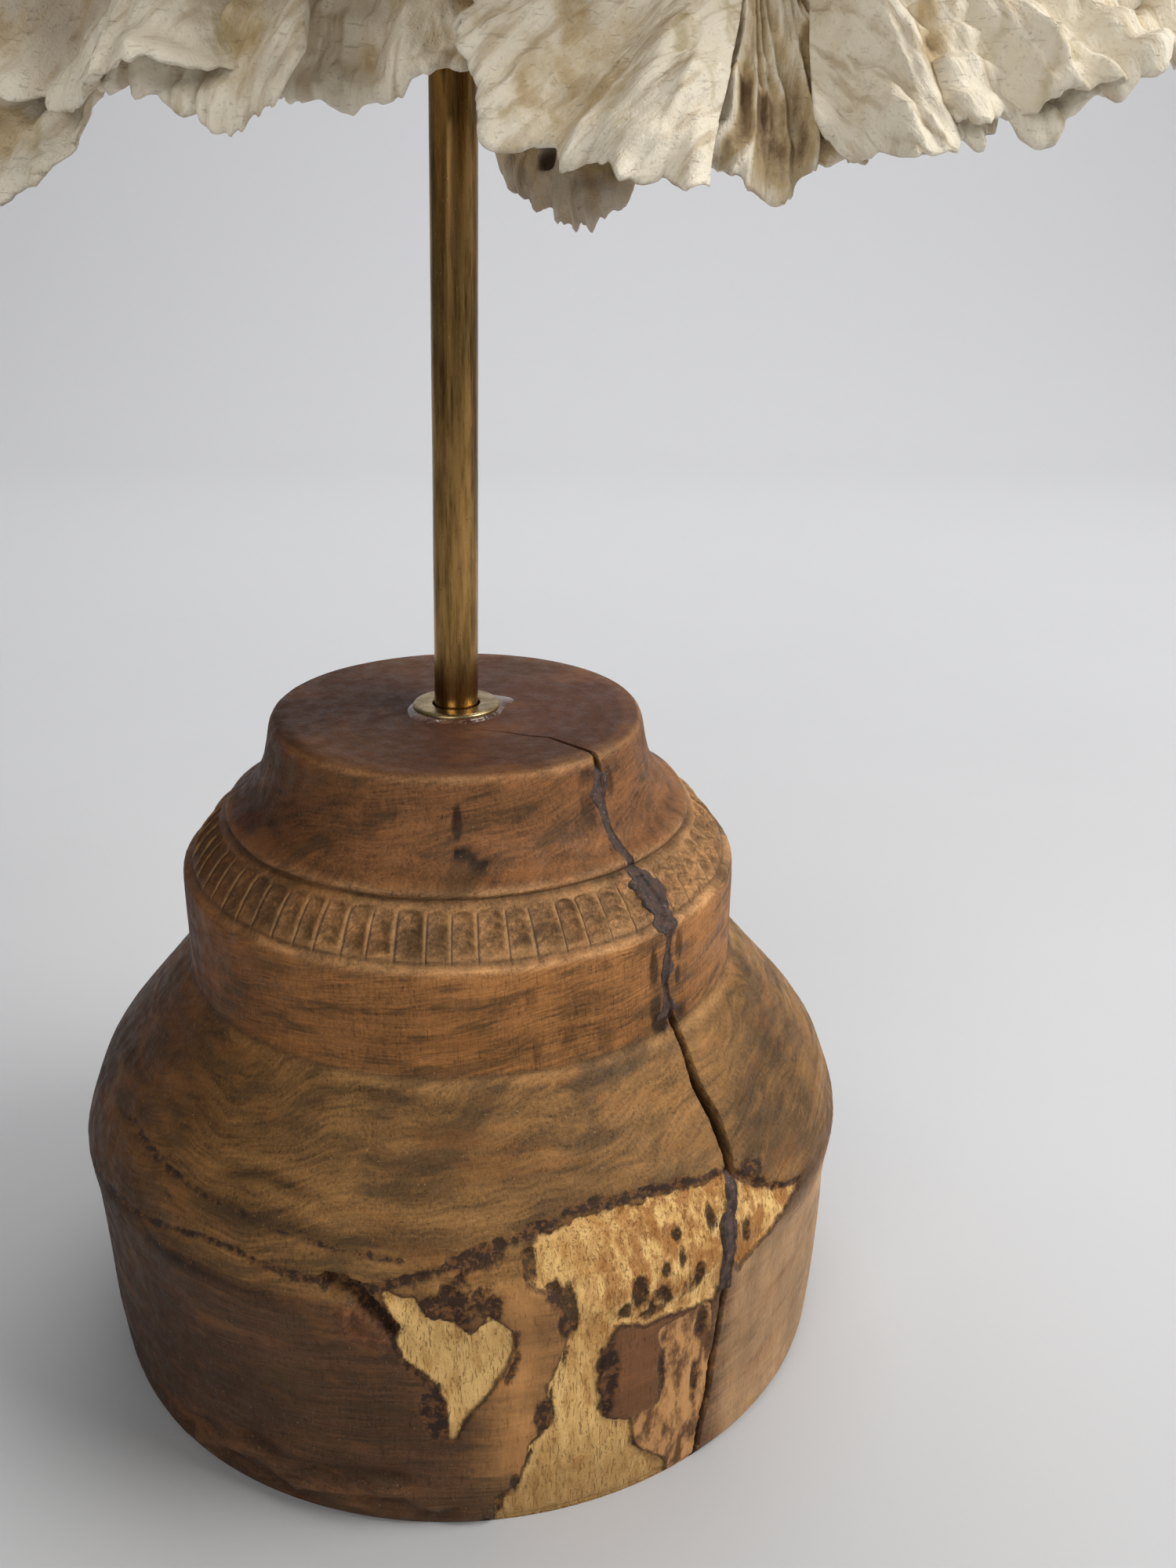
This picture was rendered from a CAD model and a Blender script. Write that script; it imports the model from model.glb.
import math

import bpy
import numpy as np
from mathutils import Euler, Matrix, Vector


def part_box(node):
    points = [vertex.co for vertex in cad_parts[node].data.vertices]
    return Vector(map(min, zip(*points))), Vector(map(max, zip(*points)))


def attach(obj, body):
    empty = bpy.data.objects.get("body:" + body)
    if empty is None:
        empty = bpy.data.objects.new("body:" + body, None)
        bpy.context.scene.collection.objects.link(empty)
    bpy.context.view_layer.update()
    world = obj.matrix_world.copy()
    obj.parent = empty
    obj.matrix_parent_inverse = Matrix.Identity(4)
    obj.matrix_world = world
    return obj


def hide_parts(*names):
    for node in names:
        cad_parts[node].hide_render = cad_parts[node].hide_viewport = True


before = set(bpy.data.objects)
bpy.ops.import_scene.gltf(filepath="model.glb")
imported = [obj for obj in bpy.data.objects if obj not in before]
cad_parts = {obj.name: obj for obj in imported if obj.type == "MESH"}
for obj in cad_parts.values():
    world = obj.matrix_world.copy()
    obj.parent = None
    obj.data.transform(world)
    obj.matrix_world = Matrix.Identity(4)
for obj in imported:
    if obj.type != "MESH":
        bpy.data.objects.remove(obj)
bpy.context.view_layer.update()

MM = 0.001
BODY = "root"

# ---- sizes in millimetres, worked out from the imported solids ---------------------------


def box_mm(node):
    low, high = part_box(node)
    return np.array(low) / MM, np.array(high) / MM


ROD_LOW, ROD_HIGH = box_mm("rod")
WASHER_LOW, WASHER_HIGH = box_mm("washer")
TOP = box_mm("wood_foot")[1][2]
ROD_RADIUS = (ROD_HIGH[1] - ROD_LOW[1]) / 2
ROD_LEAN = math.radians(1.2)

# ---- repeatable noise ------------------------------------------------------------------


def lattice(ix, iy, iz, seed):
    """A number in -1..1 for each whole-number grid point."""
    n = ix * 73856093 ^ iy * 19349663 ^ iz * 83492791 ^ (seed * 2654435761 % 2**31)
    n = n & 0xFFFFFFFF
    n = (n ^ (n >> 15)) * 0x2C1B3C6D & 0xFFFFFFFF
    n = (n ^ (n >> 12)) * 0x297A2D39 & 0xFFFFFFFF
    n = n ^ (n >> 15)
    return n / 2147483647.5 - 1.0


def noise(p, seed=0):
    """Smooth value noise in -1..1 at points p, with one cell per unit."""
    cell = np.floor(p).astype(np.int64)
    t = p - cell
    t = t * t * t * (t * (t * 6 - 15) + 10)
    total = 0
    for dx in (0, 1):
        wx = t[:, 0] if dx else 1 - t[:, 0]
        for dy in (0, 1):
            wy = t[:, 1] if dy else 1 - t[:, 1]
            for dz in (0, 1):
                wz = t[:, 2] if dz else 1 - t[:, 2]
                value = lattice(cell[:, 0] + dx, cell[:, 1] + dy, cell[:, 2] + dz, seed)
                total = total + wx * wy * wz * value
    return total


def fbm(p, size, octaves=3, seed=0, gain=0.5):
    """Layers of noise; size is the largest lump in the units of p (one number or one per axis)."""
    p = np.asarray(p, float) / np.asarray(size, float)
    total, weight, amount = 0, 0, 1.0
    for i in range(octaves):
        total = total + amount * noise(p * 2**i + 17.3 * i, seed + i)
        weight += amount
        amount *= gain
    return total / weight


def stack(*columns):
    return np.stack(np.broadcast_arrays(*columns), axis=-1)


def smooth(low, high, x):
    t = np.clip((x - low) / (high - low), 0, 1)
    return t * t * (3 - 2 * t)


def mix(a, b, t):
    return a + (b - a) * t


def bell(x, place, width):
    """A smooth bump: 1 at a place, and falling off over a width."""
    return np.exp(-(((x - place) / width) ** 2))


# ---- meshes from arrays ----------------------------------------------------------------


def grid_quads(rows, columns, wrap=False, flip=False, start=0):
    """Quads of a grid whose points are stored row by row."""
    r = np.arange(rows - 1)[:, None]
    c = np.arange(columns if wrap else columns - 1)[None, :]
    a = start + r * columns + c
    b = start + r * columns + (c + 1) % columns
    quads = np.stack([a, b, b + columns, a + columns], axis=-1).reshape(-1, 4)
    return quads[:, ::-1] if flip else quads


def make_mesh(name, points, faces, material, **attributes):
    """A smooth mesh object from points in millimetres and a list of arrays of faces."""
    mesh = bpy.data.meshes.new(name)
    faces = [np.asarray(f) for f in faces]
    loops = np.concatenate([f.reshape(-1) for f in faces])
    sizes = np.concatenate([np.full(len(f), f.shape[1]) for f in faces])
    starts = np.concatenate([[0], np.cumsum(sizes)[:-1]])
    mesh.vertices.add(len(points))
    mesh.vertices.foreach_set("co", (np.asarray(points) * MM).astype(np.float32).ravel())
    mesh.loops.add(len(loops))
    mesh.loops.foreach_set("vertex_index", loops.astype(np.int32))
    mesh.polygons.add(len(sizes))
    mesh.polygons.foreach_set("loop_start", starts.astype(np.int32))
    mesh.polygons.foreach_set("loop_total", sizes.astype(np.int32))
    mesh.update(calc_edges=True)
    mesh.validate()
    mesh.polygons.foreach_set("use_smooth", np.ones(len(mesh.polygons), bool))
    for key, values in attributes.items():
        values = np.asarray(values, np.float32)
        if values.ndim == 1:
            mesh.attributes.new(key, "FLOAT", "POINT").data.foreach_set("value", values)
        else:
            rgba = np.ones((len(values), 4), np.float32)
            rgba[:, :3] = values
            layer = mesh.attributes.new(key, "FLOAT_COLOR", "POINT")
            layer.data.foreach_set("color", rgba.ravel())
    mesh.materials.append(material)
    piece = bpy.data.objects.new(name, mesh)
    bpy.context.scene.collection.objects.link(piece)
    return piece


def place(piece, slot, *nodes):
    """Joins a piece to the body and hides the CAD nodes that it stands for."""
    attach(piece, BODY)
    if nodes:
        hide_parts(*nodes)


def linear(red, green, blue):
    """An sRGB colour given as 0..255 in Blender's linear values."""
    c = np.array([red, green, blue]) / 255
    return np.where(c <= 0.04045, c / 12.92, ((c + 0.055) / 1.055) ** 2.4)


# ---- node materials --------------------------------------------------------------------


class Value:
    """An output of a node, so that sums and products of outputs read as such."""

    def __init__(self, nodes, socket):
        self.nodes, self.socket = nodes, socket

    def __add__(self, other):
        return self.nodes.math("ADD", self, other)

    def __radd__(self, other):
        return self.nodes.math("ADD", other, self)

    def __sub__(self, other):
        return self.nodes.math("SUBTRACT", self, other)

    def __rsub__(self, other):
        return self.nodes.math("SUBTRACT", other, self)

    def __mul__(self, other):
        return self.nodes.math("MULTIPLY", self, other)

    def __truediv__(self, other):
        return self.nodes.math("DIVIDE", self, other)


class Nodes:
    """A short way to write a material's node tree."""

    def __init__(self, name):
        self.material = bpy.data.materials.new(name)
        self.material.use_nodes = True
        self.tree = self.material.node_tree
        self.shader = self.tree.nodes["Principled BSDF"]
        coords = self.tree.nodes.new("ShaderNodeTexCoord")
        self.position = self.math3("SCALE", Value(self, coords.outputs["Object"]), scale=1 / MM)

    def put(self, socket, value):
        if isinstance(value, Value):
            self.tree.links.new(value.socket, socket)
        elif value is not None:
            if hasattr(value, "__len__") and len(socket.default_value) == 4:
                value = (*value, 1.0)
            socket.default_value = value

    def math(self, operation, a, b=None):
        node = self.tree.nodes.new("ShaderNodeMath")
        node.operation = operation
        for socket, value in zip(node.inputs, (a, b)):
            self.put(socket, value)
        return Value(self, node.outputs[0])

    def math3(self, operation, a, b=None, scale=None):
        node = self.tree.nodes.new("ShaderNodeVectorMath")
        node.operation = operation
        self.put(node.inputs[0], a)
        self.put(node.inputs[1], b)
        if scale is not None:
            self.put(node.inputs["Scale"], scale)
        return Value(self, node.outputs["Value" if operation == "LENGTH" else "Vector"])

    def split(self, vector):
        node = self.tree.nodes.new("ShaderNodeSeparateXYZ")
        self.put(node.inputs[0], vector)
        return [Value(self, output) for output in node.outputs]

    def join(self, x, y, z):
        node = self.tree.nodes.new("ShaderNodeCombineXYZ")
        for socket, value in zip(node.inputs, (x, y, z)):
            self.put(socket, value)
        return Value(self, node.outputs[0])

    def scaled(self, size, vector=None):
        """A place divided by a size in millimetres, one number or one per axis."""
        size = (size,) * 3 if np.isscalar(size) else tuple(size)
        return self.math3("DIVIDE", self.position if vector is None else vector, size)

    def noise(self, size, detail=2.0, rough=0.5, vector=None, distortion=0.0):
        """Noise of about 0..1; size in millimetres, one number or one per axis."""
        place_on = self.scaled(size, vector)
        node = self.tree.nodes.new("ShaderNodeTexNoise")
        self.put(node.inputs["Vector"], place_on)
        for key, value in (("Scale", 1.0), ("Detail", detail), ("Roughness", rough),
                           ("Distortion", distortion)):
            node.inputs[key].default_value = value
        return Value(self, node.outputs[0])

    def cells(self, size):
        """Distance to the nearest of many scattered points, in units of the size."""
        place_on = self.scaled(size)
        node = self.tree.nodes.new("ShaderNodeTexVoronoi")
        self.put(node.inputs["Vector"], place_on)
        node.inputs["Scale"].default_value = 1.0
        return Value(self, node.outputs["Distance"])

    def ramp(self, value, low, high, to_low=0.0, to_high=1.0):
        """A smooth step of value between low and high."""
        node = self.tree.nodes.new("ShaderNodeMapRange")
        node.interpolation_type = "SMOOTHSTEP"
        for socket, v in zip(node.inputs, (value, low, high, to_low, to_high)):
            self.put(socket, v)
        return Value(self, node.outputs[0])

    def blend(self, factor, a, b):
        """Colour a where the factor is 0, and b where it is 1."""
        node = self.tree.nodes.new("ShaderNodeMix")
        node.data_type = "RGBA"
        self.put(node.inputs[0], factor)
        self.put(node.inputs[6], a)
        self.put(node.inputs[7], b)
        return Value(self, node.outputs[2])

    def layers(self, colour, rows):
        """Lays sRGB tones over a colour, each by its mask of 0..1 times its amount."""
        for mask, amount, tone in rows:
            colour = self.blend(mask * amount, colour, linear(*tone))
        return colour

    def attribute(self, name, vector=False):
        node = self.tree.nodes.new("ShaderNodeAttribute")
        node.attribute_name = name
        return Value(self, node.outputs["Color" if vector else "Fac"])

    def bump(self, height, distance, strength):
        """Bump from a height of 0..1 that stands for `distance` millimetres."""
        node = self.tree.nodes.new("ShaderNodeBump")
        node.inputs["Strength"].default_value = strength
        node.inputs["Distance"].default_value = distance * MM
        self.put(node.inputs["Height"], height)
        return Value(self, node.outputs[0])

    def finish(self, colour, roughness, normal, **others):
        self.put(self.shader.inputs["Base Color"], colour)
        self.put(self.shader.inputs["Roughness"], roughness)
        self.put(self.shader.inputs["Normal"], normal)
        for key, value in others.items():
            self.put(self.shader.inputs[key.replace("_", " ")], value)
        return self.material


# ---- the wooden foot -------------------------------------------------------------------

# Outside of the turned block: radius, height and the step of the mesh from there on.
FOOT_PROFILE = [
    (0.0, 125.1, 3.2), (33.4, 125.1, 0.5), (34.3, 124.6, 0.6), (34.8, 123.0, 1.1),
    (35.3, 120.0, 1.1), (36.3, 116.0, 1.1), (38.2, 112.2, 1.0), (40.6, 109.8, 0.9),
    (42.6, 108.7, 0.5), (43.6, 108.0, 0.5), (43.5, 107.2, 0.4), (42.9, 106.7, 0.4),
    (44.0, 106.4, 0.6), (46.9, 104.2, 0.6), (49.2, 101.4, 0.6), (50.2, 99.2, 0.4),
    (50.1, 98.5, 0.4), (51.3, 98.2, 0.4), (52.0, 97.4, 1.2), (52.0, 79.2, 0.6),
    (52.6, 78.0, 0.7), (55.1, 75.8, 1.0), (61.5, 68.0, 1.0), (68.2, 60.0, 0.8),
    (70.9, 56.0, 0.75), (72.9, 50.6, 0.7), (74.2, 46.4, 0.7), (74.2, 44.4, 0.7),
    (73.5, 40.0, 0.75), (73.0, 34.0, 0.75), (72.5, 24.0, 0.8), (71.9, 10.0, 0.8),
    (71.3, 1.6, 0.5), (70.2, 0.0, 7.0), (4.0, 0.0, 1.0),
]

# Centre of the split: radius, height, azimuth from -Y towards +X, half width.
SPLIT = [
    (11.5, 125.1, 14, 0.0), (16.7, 125.1, 38, 0.18), (23.3, 125.1, 48.5, 0.26),
    (33.0, 125.1, 47.8, 0.5), (35.3, 120.7, 47.6, 0.9), (37.6, 113.6, 46.6, 0.75),
    (41.1, 109.5, 46.8, 0.8), (44.8, 106.0, 46.8, 0.9), (48.4, 102.0, 48.1, 0.9),
    (51.5, 98.3, 48.1, 0.8), (52.0, 93.6, 47.4, 0.7), (52.0, 88.0, 46.5, 0.7),
    (52.0, 82.9, 47.6, 0.75), (52.6, 77.6, 49.3, 0.9), (57.2, 73.2, 47.6, 0.95),
    (59.6, 70.2, 46.8, 1.1), (63.4, 65.8, 47.0, 1.3), (67.4, 61.0, 46.0, 1.2),
    (69.2, 58.5, 45.2, 1.0), (71.3, 54.8, 44.2, 0.8), (72.7, 51.1, 42.4, 1.0),
    (74.0, 46.6, 41.9, 1.1), (73.8, 40.7, 41.7, 1.0), (73.1, 35.8, 41.5, 0.8),
    (72.5, 26.4, 40.7, 0.7), (71.9, 14.8, 39.8, 0.65), (71.2, 0.5, 38.8, 0.55),
]
SPLIT_COLUMN = 45.0
SPLIT_DEPTH = 6.5

FLUTES = 67  # carved scoops round the bead
SCOOP_HEIGHT = 102.0
PITH = (5.0, -4.0)
SIDE_RADIUS = 73  # where lengths round the foot's side are measured
FLAT_TOP = TOP - 0.2  # what is above this is the flat top
MARKS_TOP = 63  # the bare wood and the dark lines end below this
OUTSIDE = -9.0  # depth in a shape, for points far outside it

# Tones of the wood from the base up, each with the heights over which it takes over from the
# one below: shoulder, band, bead, cove and top.
LOWEST_TONE = (94, 64, 41)
TONES = [
    (46, 51, (134, 97, 55)), (78.4, 79.2, (148, 100, 56)), (97.4, 98.4, (160, 118, 76)),
    (107.2, 107.8, (118, 78, 46)), (124.4, 125.0, (84, 51, 32)),
]
LEFT_SHADE = (0.62, 0.74, 0.84)  # how much darker the left is, in red, green and blue

# Places on the front where the old outer skin of the log is gone, as azimuth and height.
BARE = [
    [(12, 56.5), (14.5, 58.5), (19.9, 60.1), (28.8, 59.8), (43.4, 58.2), (41.8, 50),
     (40.8, 40), (39.8, 36.7), (33.1, 37.9), (24.1, 39.8), (22.3, 35.6), (21.9, 28.4),
     (22.7, 20.5), (26.3, 17.7), (27.5, 11.8), (33, 3), (34, -4), (6, -4), (8.1, 6.4),
     (10.7, 9.4), (12, 17.6), (15.4, 21.2), (15.1, 26.5), (14.4, 31), (16.3, 36.9),
     (18, 42.1), (16.7, 48.3), (12.1, 52.1)],
    [(-6.6, 51.2), (-2.4, 50.2), (-0.8, 47.6), (2.5, 47.1), (4.9, 44.5), (7.2, 46.7),
     (9.8, 44.1), (9.9, 38.4), (8.1, 32.6), (4.2, 25.8), (2.3, 19.5), (1.3, 21.5),
     (1.3, 28.9), (-1.6, 35.4), (-4.3, 38.4), (-5.5, 47.3)],
    [(43, 58.6), (46, 57.5), (51.4, 52), (58.6, 47.8), (50.7, 44.6), (44.3, 40.5), (42, 46)],
]
MOTTLED = [(30.6, 36.4), (38.9, 38), (40.4, 17), (38.6, -4), (34, -4), (27.2, 11.8),
           (26.3, 17.7), (31.4, 20.1)]

# Middle lines of a chip and of the wrinkles at the lower left, as millimetres round the
# side from the front, and height.
CHIP = [(-17.4, 51.4), (-13.4, 51), (-9, 47.6), (-6.6, 44)]
WRINKLE = [(-50, 4), (-42, 8.5), (-34, 9), (-27, 5.5), (-20, 6.5), (-13, 8), (-6, 8.5), (-1, 6)]

# Dark marks: lines as a half width in millimetres and points as azimuth and height, and
# spots as azimuth, height and half sizes in millimetres.
DARK_LINES = [
    (0.8, [(-14, 51.6), (-7.7, 51.5), (-1.2, 54), (3.5, 56.4), (8.7, 57.9), (14.2, 59.6),
            (19.9, 61.0), (28.8, 60.6), (43.2, 58.9)]),
    (0.6, [(-72, 46), (-60, 47), (-50, 48.6), (-43, 50.0), (-34, 52.4), (-27, 52.4),
            (-20, 51.4), (-14, 51.6)]),
    (0.7, [(44, 58.9), (50, 53.4), (54, 50.4), (59, 48.2)]),
    (0.3, [(-66, 62), (-52, 59.4), (-38, 58.2), (-24, 57.6), (-12, 56.6), (-4, 56.0)]),
    (1.5, [(-13.6, 51.3), (-10.5, 50.9), (-7.0, 47.8), (-5.2, 44.4)]),
    (0.7, [(-5.2, 44), (-4.6, 38.6), (-1.8, 35), (0.6, 29), (1.0, 22)]),
    (0.6, [(10.6, 44), (10.6, 38), (9.2, 33)]),
    (0.5, [(12.2, 17.6), (15.2, 22), (15.0, 28), (16.4, 33), (17.2, 38)]),
    (0.6, [(6.4, -4), (8.4, 6), (10.8, 10), (12.2, 16)]),
]
DARK_SPOTS = [
    (17.2, 44.5, 1.7, 5.2), (15.4, 49.2, 1.6, 2.4), (22.7, 31.5, 1.5, 4.4), (22.7, 23.0, 1.4, 2.6),
    (14.3, 24.2, 1.7, 3.8), (10.2, 9.8, 1.0, 3.2), (27.4, 45.2, 1.7, 3.4), (31.5, 47.6, 1.3, 1.7),
    (34.2, 48.6, 0.8, 2.0), (30.0, 40.0, 3.0, 1.1), (45.8, 47.0, 1.4, 2.4), (0.5, 49.4, 3.0, 1.8),
    (3.8, 47.0, 1.3, 2.6), (-0.4, 27.5, 2.1, 7.5), (5.6, 56.0, 5.0, 1.3), (12.6, 54.6, 1.2, 3.4),
    (6.2, -1.0, 1.5, 4.0), (38.0, 33.0, 1.3, 4.0), (25.2, 42.6, 1.6, 2.0), (23.4, 30.5, 1.6, 6.5),
    (33.8, 52.6, 1.0, 1.4), (36.8, 44.0, 1.1, 2.2), (3.0, 50.6, 2.4, 1.2), (7.6, 48.8, 1.6, 1.8),
    (37.2, 20.0, 1.0, 5.0), (31.2, 26.0, 1.0, 6.0), (39.8, 53.0, 1.2, 2.6), (49.0, 56.6, 3.0, 1.4),
]
# Dark stains: azimuth, height, half sizes in millimetres, and strength. The narrow ones are
# drips with clear edges and the others are soft.
DRIP_WIDTH = 2.5
STAINS = [
    (-35, 22, 42, 20, 0.45), (-16, 34, 14, 8, 0.35), (-52, 52, 30, 6, 0.45),
    (-24, 58.0, 30, 1.4, 0.85), (-2, 58.6, 14, 1.8, 0.6), (-42, 46.8, 34, 1.3, 0.85),
    (-25, 63, 8, 0.9, 0.9), (-30, 62, 5, 1.1, 0.8), (24, 64.5, 5, 1.8, 0.5),
    (-95, 20, 80, 40, 0.3), (-76, 62, 24, 14, 0.7), (52, 62, 10, 6, 0.5), (62, 50, 16, 5, 0.4),
    (4.6, 118, 1.1, 3.6, 1.0), (5.4, 113.5, 1.7, 1.5, 1.15), (9.5, 111.5, 1.6, 1.0, 1.1),
    (7.5, 112.4, 1.2, 0.8, 1.0), (-29, 119.5, 3.2, 1.0, 0.5), (-27, 113, 4, 2, 0.35),
    (17, 92, 1.0, 2.6, 0.4), (32, 81, 1.6, 2.4, 0.45), (8, 84.5, 22, 2.0, 0.3),
    (-60, 90, 30, 14, 0.35), (-70, 112, 30, 10, 0.3), (-48, 70, 34, 9, 0.35),
    (-2, 71, 34, 2.0, 0.22), (12, 67.5, 26, 1.6, 0.25), (69, 67, 9, 9, 0.7), (80, 64, 9, 10, 0.5),
    (-61, 58, 14, 8, 0.45), (68, 55, 9, 10, 0.45), (24, 3, 18, 4, 0.4), (12, 66, 16, 3.2, 0.42),
    (20, 61.5, 8, 3, 0.5), (0, 75, 26, 1.4, 0.3), (-20, 68, 22, 2, 0.45), (-40, 66, 16, 1.6, 0.5),
    (8, 70, 12, 1.6, 0.45), (-2, 103, 7, 5, 0.35), (-34, 101, 9, 5, 0.35), (20, 103, 8, 5, 0.25),
    (-38, 94, 6, 3, 0.4), (28, 90, 5, 4, 0.3), (24, 83, 1.0, 1.4, 0.6), (18, 82, 0.9, 2.6, 0.6),
    (32, 95, 1.0, 1.0, 0.5), (42, 116, 1.6, 2.5, 0.7), (43, 121.5, 2.4, 1.6, 0.8),
    (51.5, 120, 1.0, 3, 0.7), (43.4, 92, 1.2, 4.0, 1.0), (50.8, 94, 1.1, 3, 1.0),
    (44, 84, 1.5, 3, 1.0), (51.5, 80.5, 3.0, 2.4, 1.1), (45.5, 80.5, 2.2, 2, 1.1),
    (50.4, 88.5, 1.0, 2.2, 1.0), (-19, 117, 2, 3, 0.4), (9, 110.5, 2, 1, 0.55),
    (150, 30, 60, 16, 0.35), (200, 60, 50, 6, 0.4), (110, 90, 24, 6, 0.3),
]


def polygon_depth(x, y, corners):
    """Signed distance to a polygon's edge, above 0 inside."""
    corners = np.asarray(corners, float)
    best = np.full(len(x), 1e9)
    inside = np.zeros(len(x), bool)
    for (ax, ay), (bx, by) in zip(corners, np.roll(corners, -1, axis=0)):
        ex, ey = bx - ax, by - ay
        t = np.clip(((x - ax) * ex + (y - ay) * ey) / (ex * ex + ey * ey + 1e-9), 0, 1)
        best = np.minimum(best, np.hypot(x - ax - t * ex, y - ay - t * ey))
        crosses = (ay > y) != (by > y)
        inside ^= crosses & (x < ex * (y - ay) / (ey if ey else 1e-9) + ax)
    return np.where(inside, best, -best)


def line_distance(x, y, points):
    best = np.full(len(x), 1e9)
    for (ax, ay), (bx, by) in zip(points[:-1], points[1:]):
        ex, ey = bx - ax, by - ay
        t = np.clip(((x - ax) * ex + (y - ay) * ey) / (ex * ex + ey * ey), 0, 1)
        best = np.minimum(best, np.hypot(x - ax - t * ex, y - ay - t * ey))
    return best


def profile_line():
    """The foot's outside from the middle of its top to its underside, evenly stepped."""
    points = []
    for (r0, z0, step), (r1, z1, _) in zip(FOOT_PROFILE[:-1], FOOT_PROFILE[1:]):
        count = max(1, round(math.hypot(r1 - r0, z1 - z0) / step))
        for i in range(count):
            points.append((mix(r0, r1, i / count), mix(z0, z1, i / count)))
    points.append(FOOT_PROFILE[-1][:2])
    line = np.array(points[1:])
    for _ in range(2):
        middle = (line[:-2] + 2 * line[1:-1] + line[2:]) / 4
        flat = (line[1:-1, 1] > TOP - 0.01) | (line[1:-1, 1] < 0.01)
        line[1:-1] = np.where(flat[:, None], line[1:-1], middle)
    return line


def foot_columns():
    """Azimuths of the mesh columns, close together by the split and across the front."""
    spans = [(-180, -20, 0.97), (-20, 39, 0.55), (39, 43, 0.32), (43, 47, 0.105),
             (47, 51, 0.32), (51, 62, 0.6), (62, 180, 0.97)]
    columns = [np.linspace(a, b, round((b - a) / step), endpoint=False) for a, b, step in spans]
    return np.concatenate(columns)


def travel(line):
    steps = np.hypot(*np.diff(line, axis=0).T)
    return np.concatenate([[0], np.cumsum(steps)])


def split_along(line):
    """Azimuth and half width of the split at each row of the profile."""
    along = travel(line)
    keys = np.array(SPLIT)
    places = [along[np.argmin(np.hypot(line[:, 0] - r, line[:, 1] - z))] for r, z, *_ in SPLIT]
    azimuth = np.interp(along, places, keys[:, 2])
    half = np.interp(along, places, keys[:, 3], left=-1, right=0.5)
    return azimuth, half


def foot_fields():
    """Azimuth, radius, height and the distance to the split for every point of the foot."""
    line = profile_line()
    columns = foot_columns()
    azimuth0, half = split_along(line)
    shift = (azimuth0 - SPLIT_COLUMN)[:, None]
    gap = columns[None, :] - SPLIT_COLUMN
    azimuth = columns[None, :] + shift * bell(gap, 0, 9 + 1.5 * abs(shift))
    radius = np.repeat(line[:, :1], len(columns), 1)
    height = np.repeat(line[:, 1:], len(columns), 1)
    across = np.radians(azimuth - azimuth0[:, None]) * radius
    return azimuth, radius, height, across, np.repeat(half[:, None], len(columns), 1)


def flute_fields(azimuth, radius, height):
    """Depth in millimetres of the carved scoops of the bead, and their running number."""
    rng = np.random.default_rng(11)
    cuts = np.arange(FLUTES + 1) * 360 / FLUTES - 180 + rng.uniform(-0.5, 0.5, FLUTES + 1)
    cuts[-1] = cuts[0] + 360
    lean = rng.uniform(-0.5, 0.5, FLUTES)
    deep = rng.uniform(0.75, 1.25, FLUTES)
    along = (radius - 43.5) / 7
    number = np.clip(np.searchsorted(cuts, azimuth) - 1, 0, FLUTES - 1)
    moved = azimuth + (lean[number] * (along - 0.5))
    u = np.clip((moved - cuts[number]) / (cuts[number + 1] - cuts[number]), 0, 1)
    scoop = 1 - abs(2 * u - 0.9) ** 2.2
    on = smooth(44.6, 46.0, radius) * smooth(50.3, 49.4, radius)
    on = on * smooth(98.8, 99.8, height) * smooth(107.2, 106.4, height)
    return on * deep[number] * 1.2 * np.clip(scoop, 0, 1), number + u


def relief(point, angle, height):
    """Unevenness of the turned and worn surface, in millimetres outwards."""
    grain = 0.06 * fbm(point, (0.9, 0.9, 9), 2, 41) + 0.10 * fbm(point, (9, 9, 26), 2, 42)
    turned = 0.045 * np.sin(height * 5.2 + 2 * fbm(point, 14, 2, 43)) * (height < 78)
    worn = 0.35 * fbm(point, (22, 22, 18), 3, 44) + 0.3 * np.sin(2 * angle + 0.6)
    return grain + turned + worn


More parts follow.
